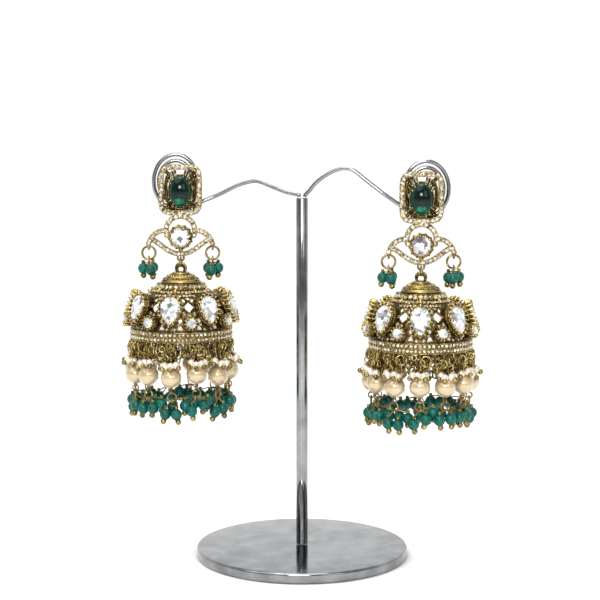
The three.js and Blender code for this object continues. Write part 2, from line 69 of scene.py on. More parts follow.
# Sizes in an earring
STUD_SIZE = (11.5, 13.7)  # along the middle of the frame's bar
CABOCHON_SIZE = (6.5, 9.6)
ARCH_RADIUS = 4.3
COLLET_RADIUS = 3.42
WING_REACH = 9.6  # from the middle to a wing's tip, and to the side ring below it
SWOOP_RISE = 4.6  # from the swoop's middle to its ends
CLUSTER_RADIUS, SIDE_BEAD, FRINGE_BEAD, LARGE_PEARL = 1.75, 1.62, 1.68, 3.05
LEFT_SPIN, RIGHT_SPIN = 24, -8  # turn of the side drops left and right of a stud
STRANDS = 12

# Stones on the dome: the seat's radius, height and tilt, then sizes from the metal inwards
DOME_STONES = 8  # of each kind
PEAR_SEAT, PEAR_BODY, PEAR_CLAWS, PEAR_STONE = (15.5, -34.775, 17), (6.7, 9.2), (6.35, 8.8), (6.05, 8.5)
ROUND_SEAT, ROUND_BODY, ROUND_CLAWS, ROUND_STONE = (16.9, -38.375, 8), 2.0, 1.8, 1.62


# -------- materials

def new_material(name, **sockets):
    mat = bpy.data.materials.new(name)
    mat.use_nodes = True
    tree = mat.node_tree
    tree.nodes.clear()
    out = tree.nodes.new("ShaderNodeOutputMaterial")
    shader = tree.nodes.new("ShaderNodeBsdfPrincipled")
    tree.links.new(shader.outputs[0], out.inputs[0])
    for key, value in sockets.items():
        shader.inputs[key.replace("_", " ")].default_value = value
    return mat, tree, shader


def texture(tree, kind, scale):
    at = tree.nodes.new("ShaderNodeTexCoord")
    made = tree.nodes.new(kind)
    made.inputs["Scale"].default_value = scale
    tree.links.new(at.outputs["Object"], made.inputs["Vector"])
    return made


def noise(tree, scale, detail=3.0):
    made = texture(tree, "ShaderNodeTexNoise", scale)
    made.inputs["Detail"].default_value = detail
    return made.outputs["Fac"]


def cells(tree, scale):
    """A value for each cell of a Voronoi pattern, even across the cell."""
    split = tree.nodes.new("ShaderNodeSeparateColor")
    tree.links.new(texture(tree, "ShaderNodeTexVoronoi", scale).outputs["Color"], split.inputs[0])
    return split.outputs[0]


def ramp(tree, value, stops):
    made = tree.nodes.new("ShaderNodeValToRGB")
    points = made.color_ramp.elements
    while len(points) < len(stops):
        points.new(0.5)
    for point, (place, colour) in zip(points, stops):
        point.position = place
        point.color = (*colour, 1.0)
    tree.links.new(value, made.inputs[0])
    return made.outputs[0]


def spread(tree, value, low, high):
    made = tree.nodes.new("ShaderNodeMapRange")
    made.inputs["To Min"].default_value = low
    made.inputs["To Max"].default_value = high
    tree.links.new(value, made.inputs["Value"])
    return made.outputs[0]


def maths(tree, operation, first, second):
    """A value worked out from a link and from a second link or number."""
    made = tree.nodes.new("ShaderNodeMath")
    made.operation = operation
    tree.links.new(first, made.inputs[0])
    if isinstance(second, float):
        made.inputs[1].default_value = second
    else:
        tree.links.new(second, made.inputs[1])
    return made.outputs[0]


def dress(tree, shader, colour, scale, low, high):
    """Gives a shader its colour, and a roughness that drifts between two values."""
    tree.links.new(colour, shader.inputs["Base Color"])
    tree.links.new(spread(tree, noise(tree, scale), low, high), shader.inputs["Roughness"])


def bump(tree, shader, height, strength, distance):
    made = tree.nodes.new("ShaderNodeBump")
    made.inputs["Strength"].default_value = strength
    made.inputs["Distance"].default_value = distance
    tree.links.new(height, made.inputs["Height"])
    tree.links.new(made.outputs[0], shader.inputs["Normal"])


def metal(name, dark, mid, bright, scale, rough, relief, finer=0.0, metallic=1.0):
    """A metal in patches of three tones, with a fine relief."""
    mat, tree, shader = new_material(name, Metallic=metallic)
    colour = ramp(tree, noise(tree, scale, 4.0), [(0.32, dark), (0.5, mid), (0.7, bright)])
    dress(tree, shader, colour, scale * 2.3, *rough)
    bump(tree, shader, noise(tree, scale * 3.0 + finer, 5.0), relief, 0.0002)
    return mat


def stone(name, stops, scale, metallic, rough):
    """A clear stone on foil, each facet painted in its own tone from dark to white as a painted
    reflection.
    """
    mat, tree, shader = new_material(name, Metallic=metallic, Coat_Weight=1.0, Coat_Roughness=0.02)
    dress(tree, shader, ramp(tree, cells(tree, scale), stops), scale, *rough)
    return mat


GOLD = metal("antique_gold", (0.095, 0.064, 0.021), (0.29, 0.21, 0.072), (0.5, 0.39, 0.155),
             700, (0.2, 0.36), 0.3)
# Painted glint gold: a lighter copy of the gold on prongs, grains, claws and some rings, painting
# highlights and glints
PAINTED_GLINT_GOLD = metal("painted_glint_gold", (0.26, 0.19, 0.06), (0.55, 0.42, 0.15), (0.76, 0.62, 0.28),
                    900, (0.14, 0.26), 0.15)
# Oxide-and-shade gold: a dark copy of the gold, partly the antique finish's oxide, partly painted shade
# in recesses, plates, settings, the shell and some rings
OXIDE_AND_SHADE_GOLD = metal("oxide_and_shade_gold", (0.022, 0.014, 0.006), (0.085, 0.056, 0.019), (0.24, 0.168, 0.06),
                  800, (0.28, 0.52), 0.5)
SATIN_GOLD = metal("satin_gold", (0.3, 0.21, 0.07), (0.44, 0.325, 0.12), (0.55, 0.42, 0.17),
                   260, (0.26, 0.36), 0.08)
CHROME = metal("chrome", (0.2, 0.206, 0.212), (0.28, 0.288, 0.295), (0.36, 0.37, 0.378),
               160, (0.08, 0.16), 0.02, 600)
# The three stones below show painted reflections: each facet is painted a tone between dark and white
PAVE = stone("pave_painted_facets", [(0.0, (0.07, 0.055, 0.03)), (0.3, (0.33, 0.28, 0.18)),
                            (0.6, (0.66, 0.6, 0.46)), (1.0, (0.92, 0.89, 0.8))],
             1700, 0.35, (0.03, 0.1))
CRYSTAL = stone("painted_reflection_stone", [(0.0, (0.13, 0.13, 0.145)), (0.25, (0.4, 0.41, 0.43)),
                                 (0.5, (0.62, 0.63, 0.64)), (0.78, (0.86, 0.86, 0.86)),
                                 (1.0, (1.0, 1.0, 1.0))],
                900, 0.25, (0.02, 0.07))
PAINTED_MIRROR_STONE = stone("painted_mirror_facets", [(0.0, (0.05, 0.042, 0.055)), (0.3, (0.22, 0.2, 0.235)),
                                (0.46, (0.72, 0.71, 0.72)), (1.0, (0.98, 0.98, 0.98))],
              760, 0.25, (0.02, 0.07))


def pearl_material(name, low, high, scale):
    mat, tree, shader = new_material(
        name, Metallic=0.35, Coat_Weight=1.0, Coat_Roughness=0.05, Subsurface_Weight=0.05,
        Subsurface_Scale=0.001)
    colour = ramp(tree, noise(tree, scale, 3.0), [(0.3, low), (0.7, high)])
    dress(tree, shader, colour, scale * 4, 0.2, 0.28)
    bump(tree, shader, noise(tree, scale * 3, 2.0), 0.02, 0.0001)
    return mat


PEARL = pearl_material("champagne_pearl", (0.56, 0.43, 0.25), (0.68, 0.56, 0.35), 200)
SEED = pearl_material("seed_pearl", (0.72, 0.63, 0.5), (0.84, 0.77, 0.66), 400)


def bead_material():
    mat, tree, shader = new_material("teal_bead", Coat_Weight=0.6, Coat_Roughness=0.02,
                                     Coat_IOR=1.5, Specular_IOR_Level=0.02)
    colour = ramp(tree, noise(tree, 300, 2.0), [(0.3, (0.0, 0.056, 0.041)), (0.5, (0.0, 0.092, 0.068)),
                                                (0.72, (0.0, 0.145, 0.107))])
    dress(tree, shader, colour, 600, 0.14, 0.22)
    bump(tree, shader, noise(tree, 700, 2.0), 0.03, 0.0001)
    return mat


BEAD = bead_material()


def cabochon_material():
    mat, tree, shader = new_material("emerald_glass", Specular_IOR_Level=0.3)
    at = tree.nodes.new("ShaderNodeTexCoord")
    split = tree.nodes.new("ShaderNodeSeparateXYZ")
    tree.links.new(at.outputs["Generated"], split.inputs[0])

    def painted_spot(across, up, wide, high):
        """How near a point is to a painted spot in the glass, 1 at its middle: used for the painted dark
        middle and the painted glow.
        """
        parts = []
        for axis, middle, reach in (("X", across, wide), ("Z", up, high)):
            off = maths(tree, "SUBTRACT", split.outputs[axis], middle)
            share = maths(tree, "DIVIDE", off, reach)
            parts.append(maths(tree, "MULTIPLY", share, share))
        near = tree.nodes.new("ShaderNodeMapRange")
        near.inputs["From Min"].default_value, near.inputs["From Max"].default_value = 1.0, 0.0
        tree.links.new(maths(tree, "ADD", *parts), near.inputs["Value"])
        return near.outputs[0]

    def blend(factor, under, over):
        mix = tree.nodes.new("ShaderNodeMix")
        mix.data_type = "RGBA"
        tree.links.new(factor, mix.inputs["Factor"])
        tree.links.new(under, mix.inputs["A"])
        mix.inputs["B"].default_value = (*over, 1.0)
        return mix.outputs["Result"]

    body = ramp(tree, noise(tree, 350), [(0.3, (0.0, 0.05, 0.03)), (0.75, (0.0, 0.09, 0.05))])
    # Painted shade: the glass is darkened towards its middle
    middle = ramp(tree, painted_spot(0.5, 0.52, 0.5, 0.5), [(0.08, (0, 0, 0)), (0.4, (0.94, 0.94, 0.94)),
                                                   (1.0, (1, 1, 1))])
    tone = blend(middle, body, (0.0, 0.007, 0.005))
    # Painted light: a bright green glow low in the glass, broken up by noise
    ripple = ramp(tree, noise(tree, 900, 3.0), [(0.35, (0.25, 0.25, 0.25)), (0.6, (1, 1, 1))])
    light = maths(tree, "MULTIPLY", painted_spot(0.47, 0.2, 0.27, 0.11), ripple)
    tone = blend(light, tone, (0.0, 0.3, 0.13))
    dress(tree, shader, tone, 300, 0.04, 0.08)
    return mat


EMERALD = cabochon_material()
# A pale, nearly white lining inside the dome: painted light where its openings are seen through
PAINTED_LIGHT_LINING = metal("painted_light_lining", (0.8, 0.77, 0.68), (0.9, 0.88, 0.8), (0.95, 0.94, 0.89),
               500, (0.3, 0.45), 0.1, metallic=0.15)
FINISH = [GOLD, PAINTED_GLINT_GOLD, OXIDE_AND_SHADE_GOLD, PAVE, CRYSTAL, PEARL, SEED, BEAD, CHROME, EMERALD, PAINTED_LIGHT_LINING,
          PAINTED_MIRROR_STONE, SATIN_GOLD]
(M_GOLD, M_PAINTED_GLINT, M_OXIDE_SHADE, M_PAVE, M_CRYSTAL, M_PEARL, M_SEED, M_BEAD, M_CHROME, M_EMERALD,
 M_PAINTED_LIGHT, M_PAINTED_MIRROR, M_SATIN) = range(13)


# -------- forms

class Form:
    """A small closed mesh that is copied many times."""

    def __init__(self, verts, faces, smooth=True):
        self.verts = np.array(verts, float).reshape(-1, 3)
        volume = 0.0
        for count in {len(face) for face in faces}:
            corner = self.verts[np.array([face for face in faces if len(face) == count])]
            for i in range(1, count - 1):
                volume += (corner[:, 0] * np.cross(corner[:, i], corner[:, i + 1])).sum()
        if volume < 0:
            faces = [face[::-1] for face in faces]
        self.loops = np.array([i for face in faces for i in face], np.int64)
        self.sizes = np.array([len(face) for face in faces], np.int64)
        self.smooth = smooth


def skin(rings, closed=False, smooth=True):
    """Joins rings of points, each one a list of the same length or a single point."""
    verts, ids, faces = [], [], []
    for ring in rings:
        ids.append(list(range(len(verts), len(verts) + len(ring))))
        verts.extend(ring)
    pairs = list(zip(ids, ids[1:])) + ([(ids[-1], ids[0])] if closed else [])
    for a, b in pairs:
        count = max(len(a), len(b))
        for i in range(count):
            j = (i + 1) % count
            quad = [a[i % len(a)], a[j % len(a)], b[j % len(b)], b[i % len(b)]]
            face = [v for k, v in enumerate(quad) if v not in quad[:k]]
            if len(face) > 2:
                faces.append(face)
    if not closed:
        for end in (ids[0], ids[-1]):
            if len(end) > 2:
                faces.append(end if end is ids[-1] else end[::-1])
    return Form(verts, faces, smooth)


def circle(radius, sides, z=0.0, phase=0.0):
    a = 2 * np.pi * (np.arange(sides) + phase) / sides
    return np.stack([radius * np.cos(a), radius * np.sin(a), np.full(sides, z)], 1)


def lathe(profile, sides, closed=False, smooth=True):
    """A round form from its profile of (radius, z) points."""
    rings = [[(0, 0, z)] if r < 1e-9 else circle(r, sides, z) for r, z in profile]
    return skin(rings, closed, smooth)


def ball(sides, bands):
    """A ball of radius 1."""
    a = np.linspace(-np.pi / 2, np.pi / 2, bands + 1)
    return lathe([(np.cos(t) if 0 < i < bands else 0.0, np.sin(t)) for i, t in enumerate(a)], sides)


def torus(radius, wire, sides, section):
    a = 2 * np.pi * np.arange(section) / section
    return lathe([(radius + wire * np.cos(t), wire * np.sin(t)) for t in a], sides, closed=True)


def spline(points, per):
    """A smooth path through the points, in so many steps between each two of them."""
    p = [np.array(q, float) for q in points]
    p = [2 * p[0] - p[1]] + p + [2 * p[-1] - p[-2]]
    out = []
    for a, b, c, d in zip(p, p[1:], p[2:], p[3:]):
        d0, d1, d2 = (max(np.linalg.norm(v), 1e-6) ** 0.5 for v in (b - a, c - b, d - c))
        m1 = ((b - a) / d0 - (c - a) / (d0 + d1) + (c - b) / d1) * d1
        m2 = ((c - b) / d1 - (d - b) / (d1 + d2) + (d - c) / d2) * d1
        for t in np.arange(per) / per:
            out.append((2 * t**3 - 3 * t**2 + 1) * b + (t**3 - 2 * t**2 + t) * m1
                       + (3 * t**2 - 2 * t**3) * c + (t**3 - t**2) * m2)
    out.append(p[-2])
    return np.array(out)


def directions(path, closed):
    if closed:
        along = np.roll(path, -1, 0) - np.roll(path, 1, 0)
    else:
        along = np.gradient(path, axis=0)
    return along / np.linalg.norm(along, axis=1)[:, None]


def tube(path, radii, sides, closed=False):
    """A round bar along a path, with one radius or one for each point."""
    path = np.array(path, float)
    count = len(path)
    radii = np.broadcast_to(radii, count)
    along = directions(path, closed)
    side = np.cross(along[0], [0.31, 0.9, 0.2])
    rings = []
    a = 2 * np.pi * np.arange(sides) / sides
    for i in range(count):
        side = side - along[i] * np.dot(side, along[i])
        side /= np.linalg.norm(side)
        other = np.cross(along[i], side)
        rings.append(path[i] + radii[i] * (np.outer(np.cos(a), side) + np.outer(np.sin(a), other)))
    return skin(rings, closed)


def sweep(path, section, closed):
    """A bar along a flat path of (x, z) points. Its section's points are (across, y)."""
    path = np.array(path, float)
    rings = [[(x - s * tz, y, z + s * tx) for s, y in section]
             for (x, z), (tx, tz) in zip(path, directions(path, closed))]
    return skin(rings, closed)


def cut_stone(outline, girdle, height, middle, table):
    """A faceted stone with a flat table, its girdle in the XY plane and its front to +Z."""
    flat = np.array(outline, float)
    between = (flat + np.roll(flat, -1, 0)) / 2
    count = len(flat)
    levels = [(flat * 0.9, -girdle), (flat, 0.0), (between * middle / 0.96, height * 0.62),
              (flat * table, height)]
    verts = [(x, y, z) for points, z in levels for x, y in points]
    faces = [list(range(count))[::-1], list(range(3 * count, 4 * count))]
    for i in range(count):
        j, h = (i + 1) % count, (i - 1) % count
        faces.append([i, j, count + j, count + i])
        faces.append([count + i, count + j, 2 * count + i])
        faces.append([count + i, 2 * count + i, 3 * count + i, 2 * count + h])
        faces.append([2 * count + i, 3 * count + j, 3 * count + i])
    return Form(verts, faces, smooth=False)


def disc_points(radius, count):
    return circle(radius, count, phase=0.5)[:, :2]


def pear_points(width, height, count):
    t = 2 * np.pi * np.arange(count) / count
    x = np.sin(t) * np.abs(np.sin(t / 2)) ** 0.62
    return np.stack([x * width / 2 / np.abs(x).max(), -np.cos(t) * height / 2], 1)


def resample(path, count, closed):
    """So many points at even steps along a path."""
    path = np.array(path, float)
    if closed:
        path = np.vstack([path, path[:1]])
    length = np.concatenate([[0], np.cumsum(np.linalg.norm(np.diff(path, axis=0), axis=1))])
    at = np.linspace(0, length[-1], count, endpoint=not closed)
    return np.stack([np.interp(at, length, path[:, k]) for k in range(path.shape[1])], 1)


# -------- placing

def move(x=0.0, y=0.0, z=0.0):
    m = np.eye(4)
    m[:3, 3] = (x, y, z)
    return m


def turn(axis, degrees):
    a = math.radians(degrees)
    c, s = math.cos(a), math.sin(a)
    i, j = {"x": (1, 2), "y": (2, 0), "z": (0, 1)}[axis]
    m = np.eye(4)
    m[i, i], m[i, j], m[j, i], m[j, j] = c, -s, s, c
    return m


def size(x, y=None, z=None):
    return np.diag([x, x if y is None else y, x if z is None else z, 1.0])


# A form whose front is +Z and top is +Y, made to face the earring's front
FRONT = turn("x", 90)


def facing(x, y, z, spin=0.0, tilt=0.0):
    return move(x, y, z) @ turn("x", -tilt) @ FRONT @ turn("z", spin)


def around(radius, z, angle, spin=0.0, tilt=0.0):
    """Faces outward at an angle round the dome, counted from its front."""
    return turn("z", angle) @ facing(0, -radius, z, spin, tilt)


def new_object(name, data):
    made = bpy.data.objects.new(name, data)
    bpy.context.scene.collection.objects.link(made)
    return made


class Build:
    """Collects copies of forms, then makes one object of them."""

    def __init__(self):
        self.verts, self.loops, self.sizes, self.finish, self.smooth = [], [], [], [], []
        self.count = 0

    def add(self, form, place=None, finish=0):
        place = np.eye(4) if place is None else place
        self.verts.append(form.verts @ place[:3, :3].T + place[:3, 3])
        self.loops.append(form.loops + self.count)
        self.sizes.append(form.sizes)
        self.finish.append(np.full(len(form.sizes), finish))
        self.smooth.append(np.full(len(form.sizes), form.smooth))
        self.count += len(form.verts)

    def object(self, name, place=None):
        place = np.eye(4) if place is None else place
        verts = np.vstack(self.verts) @ place[:3, :3].T + place[:3, 3]
        loops, sizes = np.concatenate(self.loops), np.concatenate(self.sizes)
        finish = np.concatenate(self.finish)
        used = sorted(set(finish.tolist()))
        mesh = bpy.data.meshes.new(name)
        mesh.vertices.add(len(verts))
        mesh.vertices.foreach_set("co", (verts * 0.001).ravel())
        mesh.loops.add(len(loops))
        mesh.loops.foreach_set("vertex_index", loops)
        mesh.polygons.add(len(sizes))
        mesh.polygons.foreach_set("loop_start", np.concatenate([[0], np.cumsum(sizes)[:-1]]))
        for k in used:
            mesh.materials.append(FINISH[k])
        mesh.polygons.foreach_set("material_index", np.searchsorted(used, finish))
        mesh.polygons.foreach_set("use_smooth", np.concatenate(self.smooth))
        mesh.update(calc_edges=True)
        mesh.validate()
        return new_object(name, mesh)

    def stand_in(self, node, body, slot, place=None):
        """Makes the object that shows in place of a CAD node."""
        made = self.object(node + "_look", place)
        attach(made, body)
        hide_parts(node)
        return made


# -------- the stand

def stand():
    base = Build()
    high, edge, wide = 3.0, 0.7, 32.0
    rounding = [(wide - edge + edge * math.sin(t), high - edge + edge * math.cos(t))
                for t in np.linspace(np.pi / 2, 0, 7)]
    base.add(lathe([(0, 0), (wide - 0.4, 0), (wide, 0.4), *rounding,
                    (wide * 0.5, high), (4.0, high), (0, high)], 128), finish=M_CHROME)
    base.stand_in("stand_base", "stand", "chrome")
    post = Build()
    r, bottom, top = 1.75, 3.3, POST_TOP
    post.add(lathe([(0, bottom), (r, bottom), (r, 30), (r, 60), (r, top - 0.35), (r - 0.1, top - 0.1),
                    (r - 0.35, top), (0, top)], 48), finish=M_CHROME)
    post.stand_in("stand_post", "stand", "chrome")


ARM = {  # reach, crest, rise of the coil's centre, depth
    "left": (37.7, 4.0, 5.0, 5.0), "right": (36.3, 7.9, 3.1, -5.0)}
ARM_ROUTE = [  # share of the reach, share of the crest on the left and on the right
    (0.055, 0.06, 0.13), (0.12, 0.18, 0.48), (0.25, 0.65, 0.88), (0.355, 1.0, 1.0),
    (0.42, 0.94, 0.92), (0.51, 0.68, 0.6), (0.66, 0.0, 0.07), (0.8, -0.55, -0.38)]


def arm(side):
    way = SIDES[side][0]
    reach, crest, rise, depth = ARM[side]
    points = [(way * 0.85, 0, POST_TOP + 0.3), (way * 1.02, 0, POST_TOP + 0.9)]
    for across, left, right in ARM_ROUTE:
        points.append((way * reach * across, depth * min(1, across / 0.66),
                       POST_TOP + 0.9 + crest * (left if side == "left" else right)))
    for i in range(26):
        turns = i / 12
        a = -math.radians(66) - 2 * math.pi * turns
        high = 8.9 - 1.86 * turns
        points.append((way * reach - way * high * 0.83 * math.cos(a), depth,
                       POST_TOP + rise + high * math.sin(a)))
    path = spline(points, 7)
    radii = np.full(len(path), 0.6)
    radii[-1], radii[-2] = 0.42, 0.56
    made = Build()
    made.add(tube(path, radii, 20), finish=M_CHROME)
    made.stand_in(f"{side}_arm", "stand", "chrome")


# -------- shared small forms

PAVE_STONE = cut_stone(disc_points(1.0, 8), 0.3, 0.5, 0.86, 0.55)
ROUND_BRILLIANT = cut_stone(disc_points(1.0, 12), 0.25, 0.42, 0.86, 0.52)
DOT = ball(8, 6)
GRAIN = ball(5, 4)
CUP = torus(1.0, 0.2, 10, 4)
BEAD_FORM = lathe([(0.16, -0.93), (0.4, -0.94), (0.7, -0.74), (0.91, -0.42), (1.0, 0.0), (0.91, 0.42),
                   (0.7, 0.74), (0.4, 0.94), (0.16, 0.93)], 24)
PEARL_FORM = ball(36, 20)
SMALL_PEARL = ball(16, 10)
LOOP = torus(0.95, 0.26, 22, 7)
WRAP = torus(0.36, 0.17, 12, 6)


@lru_cache
def wire_ring(radius, wire):
    return torus(radius, wire, 22, 6)


def pave_row(made, path, count, closed, radius, y, edge, dot):
    """Small stones in cups along a flat path, with round prongs between them at both edges."""
    at = resample(path, count, closed)
    for x, z in at:
        spin = RNG.uniform(0, 45)
        made.add(PAVE_STONE, facing(x, y - 0.02, z, spin) @ size(radius), M_PAVE)
        made.add(CUP, facing(x, y + 0.03, z) @ size(radius * 1.06, radius * 1.06, radius), M_GOLD)
    steps = zip(at, np.roll(at, -1, 0)) if closed else zip(at, at[1:])
    for (x0, z0), (x1, z1) in steps:
        x, z = (x0 + x1) / 2, (z0 + z1) / 2
        length = math.hypot(x1 - x0, z1 - z0)
        nx, nz = -(z1 - z0) / length, (x1 - x0) / length
        for way in (1, -1):
            made.add(GRAIN, move(x + way * edge * nx, y - 0.1, z + way * edge * nz) @ size(dot), M_PAINTED_GLINT)


def bar(made, path, closed, half, front, back):
    """A bar with rounded edges along a flat path, from y = front to y = back."""
    k = half * 0.7
    section = [(-half, back), (-half, front + 0.28), (-k, front), (k, front), (half, front + 0.28),
               (half, back), (k, back + 0.1), (-k, back + 0.1)]
    made.add(sweep(path, section, closed), finish=M_GOLD)


def spike(points, thick, tip, sides=6):
    """A claw that tapers along its points."""
    path = spline(points, 3)
    radii = np.linspace(thick, tip, len(path))
    return tube(path, radii, sides)


# -------- stud and connector

def superellipse(width, height, power, count=120):
    """An oval for power 2, and nearer to a rectangle as it rises."""
    a = 2 * np.pi * np.arange(count) / count
    c, s = np.cos(a), np.sin(a)
    return np.stack([width / 2 * np.sign(c) * np.abs(c) ** (2 / power),
                     height / 2 * np.sign(s) * np.abs(s) ** (2 / power)], 1)


# Shares of the reach and of the fall or rise, from the middle outwards
SWOOP = [(0, 0), (0.16, 0.04), (0.32, 0.16), (0.48, 0.36), (0.64, 0.61), (0.8, 0.85), (0.95, 1.0)]
WING = [(0, 0), (0.3, 0.03), (0.6, 0.22), (0.86, 0.58), (1, 1)]


def stud_frame():
    """The frame and plate, the ear post and nut, the arch, wings, swoop, collet and eyes."""
    made = Build()
    rim = resample(superellipse(*STUD_SIZE, 5.4), 96, True)
    bar(made, rim, True, 0.74, -0.72, 0.8)
    pave_row(made, rim, 34, True, 0.69, -0.78, 0.68, 0.2)

    # Oval plate behind the cabochon, with two wire rings and four corner ornaments
    plate = lathe([(0, 0), (0.97, 0), (1.0, 0.12), (1.0, 0.58), (0.97, 0.7), (0, 0.7)], 64)
    made.add(plate, move(0, 0.9, -STONE_DROP) @ turn("x", 90) @ size(3.75, 5.3, 1), M_OXIDE_SHADE)
    oval = superellipse(7.1, 10.2, 2.0, 72)
    made.add(tube([(x, -0.2, z - STONE_DROP) for x, z in oval], 0.22, 8, True), finish=M_GOLD)
    for sx in (1, -1):
        for out, wire, finish in ((4.15, 0.42, M_OXIDE_SHADE), (4.7, 0.2, M_GOLD)):
            rail = [(sx * (out - 0.5), 0.5, 4.3), (sx * out, 0.45, 2.2), (sx * out, 0.45, -1.4),
                    (sx * (out - 0.35), 0.5, -3.6)]
            made.add(tube(spline(rail, 6), wire, 8), finish=finish)
    for sx in (1, -1):
        for sz in (1, -1):
            for k in range(5):
                a = math.atan2(sz * 1.0, sx * 0.8) + math.radians((k - 2) * 9.5)
                c, s = math.cos(a), math.sin(a)
                far = 1.4 - 0.06 * abs(k - 2)
                points = [(x * c, y, z * s - STONE_DROP) for x, y, z in (
                    (3.6 * far, 0.35, 5.1 * far), (4.32, -0.45, 5.865), (3.5, -1.2, 5.0),
                    (3.2, -1.5, 4.6))]
                made.add(spike(points, 0.4, 0.2), finish=(M_GOLD, M_OXIDE_SHADE)[k % 2])
                if k % 2 == 0:
                    made.add(DOT, move(3.25 * c, -1.5, 4.65 * s - STONE_DROP) @ size(0.28), M_PAINTED_GLINT)
                made.add(DOT, move(3.6 * c * far, -0.1, 5.1 * s * far - STONE_DROP) @ size(0.36), M_GOLD)
            corner = [(sx * 2.8, 0.55, sz * 3.9), (sx * 4.1, 0.4, sz * 5.3), (sx * 5.3, 0.3, sz * 6.4)]
            made.add(spike(corner, 0.6, 0.55, 8), finish=M_OXIDE_SHADE)

    # Ear post and nut
    shaft = lathe([(0, 0.4), (0.45, 0.4), (0.45, 3.3), (0.3, 3.3), (0, 3.3)], 16)
    made.add(shaft, move(0, 0, -0.75) @ turn("x", -90), M_GOLD)
    nut = lathe([(0, 0), (1.9, 0), (2.25, 0.12), (2.4, 0.35), (2.4, 0.65), (2.25, 0.88), (1.9, 1.0),
                 (0.8, 1.0), (0, 1.0)], 40)
    made.add(nut, move(0, 2.7, -0.75) @ turn("x", -90), M_GOLD)

    # Arch, wings and swoop
    below = math.radians(20)  # how far the arch goes on past its widest point
    a = np.linspace(-below, math.pi + below, 60)
    arch = np.stack([ARCH_RADIUS * np.cos(a), ARCH_Z + ARCH_RADIUS * np.sin(a)], 1)
    bar(made, arch, False, 0.7, -0.72, 0.8)
    pave_row(made, arch, 13, False, 0.66, -0.78, 0.64, 0.19)
    for way in (1, -1):
        points = [(way * (ARCH_RADIUS + (WING_REACH - ARCH_RADIUS) * out), 0,
                   ARCH_Z + (WING_TIP_Z - ARCH_Z) * down) for out, down in WING]
        wing = spline(points, 8)[:, [0, 2]]
        bar(made, wing, False, 0.68, -0.72, 0.8)
        pave_row(made, wing[4:], 6, False, 0.64, -0.78, 0.62, 0.19)
    half = [(WING_REACH * across, 0, SWOOP_Z + SWOOP_RISE * up) for across, up in SWOOP]
    swoop = spline([(-x, y, z) for x, y, z in half[:0:-1]] + half, 6)[:, [0, 2]]
    bar(made, swoop, False, 0.68, -0.72, 0.8)
    pave_row(made, swoop[2:-2], 18, False, 0.62, -0.8, 0.63, 0.19)

    # Collet with claws over its stone, on a foot
    cup = lathe([(0, -0.9), (3.1, -0.9), (3.35, -0.6), (3.45, 0.0), (3.45, 0.8), (3.35, 0.95),
                 (3.12, 0.9), (3.08, 0.1), (2.0, 0.0), (0, 0.0)], 48)
    made.add(cup, facing(0, 0, COLLET_Z), M_OXIDE_SHADE)
    made.add(torus(3.3, 0.32, 48, 8), facing(0, -0.92, COLLET_Z), M_GOLD)
    for i in range(12):
        a = math.radians(30 * i + 9)
        c, s = math.cos(a), math.sin(a)
        points = [(r * c, y, COLLET_Z + r * s) for r, y in (
            (COLLET_RADIUS, 0.3), (COLLET_RADIUS + 0.13, -0.6), (3.3, -1.3), (2.85, -1.5))]
        made.add(spike(points, 0.42, 0.3), finish=M_GOLD)
        made.add(DOT, move(2.9 * c, -1.5, COLLET_Z + 2.9 * s) @ size(0.36), M_PAINTED_GLINT)
    foot = [(0, COLLET_Z - 3.1), (0, SWOOP_Z + 0.2)]
    bar(made, foot, False, 0.6, -0.7, 0.7)

    # Soldered eyes, below the swoop and at the wings' tips
    made.add(torus(0.95, 0.3, 28, 10), move(0, 0, EYE_Z) @ FRONT, M_GOLD)
    for way in (1, -1):
        made.add(torus(0.95, 0.3, 28, 10), move(way * WING_REACH, 0, -16.9) @ turn("y", 90), M_GOLD)
        made.add(DOT, move(way * WING_REACH, -0.1, -16.0) @ size(0.62), M_GOLD)
    return made


def cabochon():
    made = Build()
    profile = [(0, 0), (0.96, 0), (1.0, 0.15), (1.0, 0.7)]
    for t in np.linspace(0.12, 1, 14):
        a = t * math.pi / 2
        profile.append((math.cos(a) if t < 1 else 0.0, 0.7 + 2.5 * math.sin(a)))
    wide, high = CABOCHON_SIZE
    made.add(lathe(profile, 64), move(0, -0.5, 0) @ FRONT @ size(wide / 2, high / 2, 1), M_EMERALD)
    return made


def round_stone():
    made = Build()
    low = lathe([(0, 0), (2.0, 0), (2.98, 0.9), (0, 0.95)], 16, smooth=False)
    made.add(low, facing(0, -0.3, COLLET_Z), M_PAINTED_MIRROR)
    crown = cut_stone(disc_points(2.98, 16), 0.1, 0.9, 0.84, 0.5)
    made.add(crown, facing(0, -1.2, COLLET_Z), M_PAINTED_MIRROR)
    return made


def bead_on_pin(made, top, centre, radius, lean):
    """A bead on a headpin from a ring above, with its wraps and a round gold end below."""
    x, y, z = centre
    path = spline([top, ((top[0] + x) / 2, (top[1] + y) / 2, (top[2] + z + radius) / 2 + 0.1),
                   (x, y, z + radius)], 4)
    made.add(tube(path, 0.19, 6), finish=M_GOLD)
    for k in range(3):
        made.add(WRAP, move(x, y, z + radius + 0.08 + 0.3 * k), M_GOLD)
    tilt = turn("x", lean[0]) @ turn("y", lean[1])
    made.add(BEAD_FORM, move(x, y, z) @ tilt @ size(radius), M_BEAD)
    made.add(WRAP, move(x, y, z - radius + 0.04), M_GOLD)
    end = tilt @ np.array([0, 0, -(radius + 0.5), 0])
    made.add(DOT, move(x + end[0], y + end[1], z + end[2]) @ size(0.92), M_GOLD)
    made.add(tube([(x, y, z - radius + 0.2), (x + end[0], y + end[1], z + end[2])], 0.16, 6),
             finish=M_GOLD)


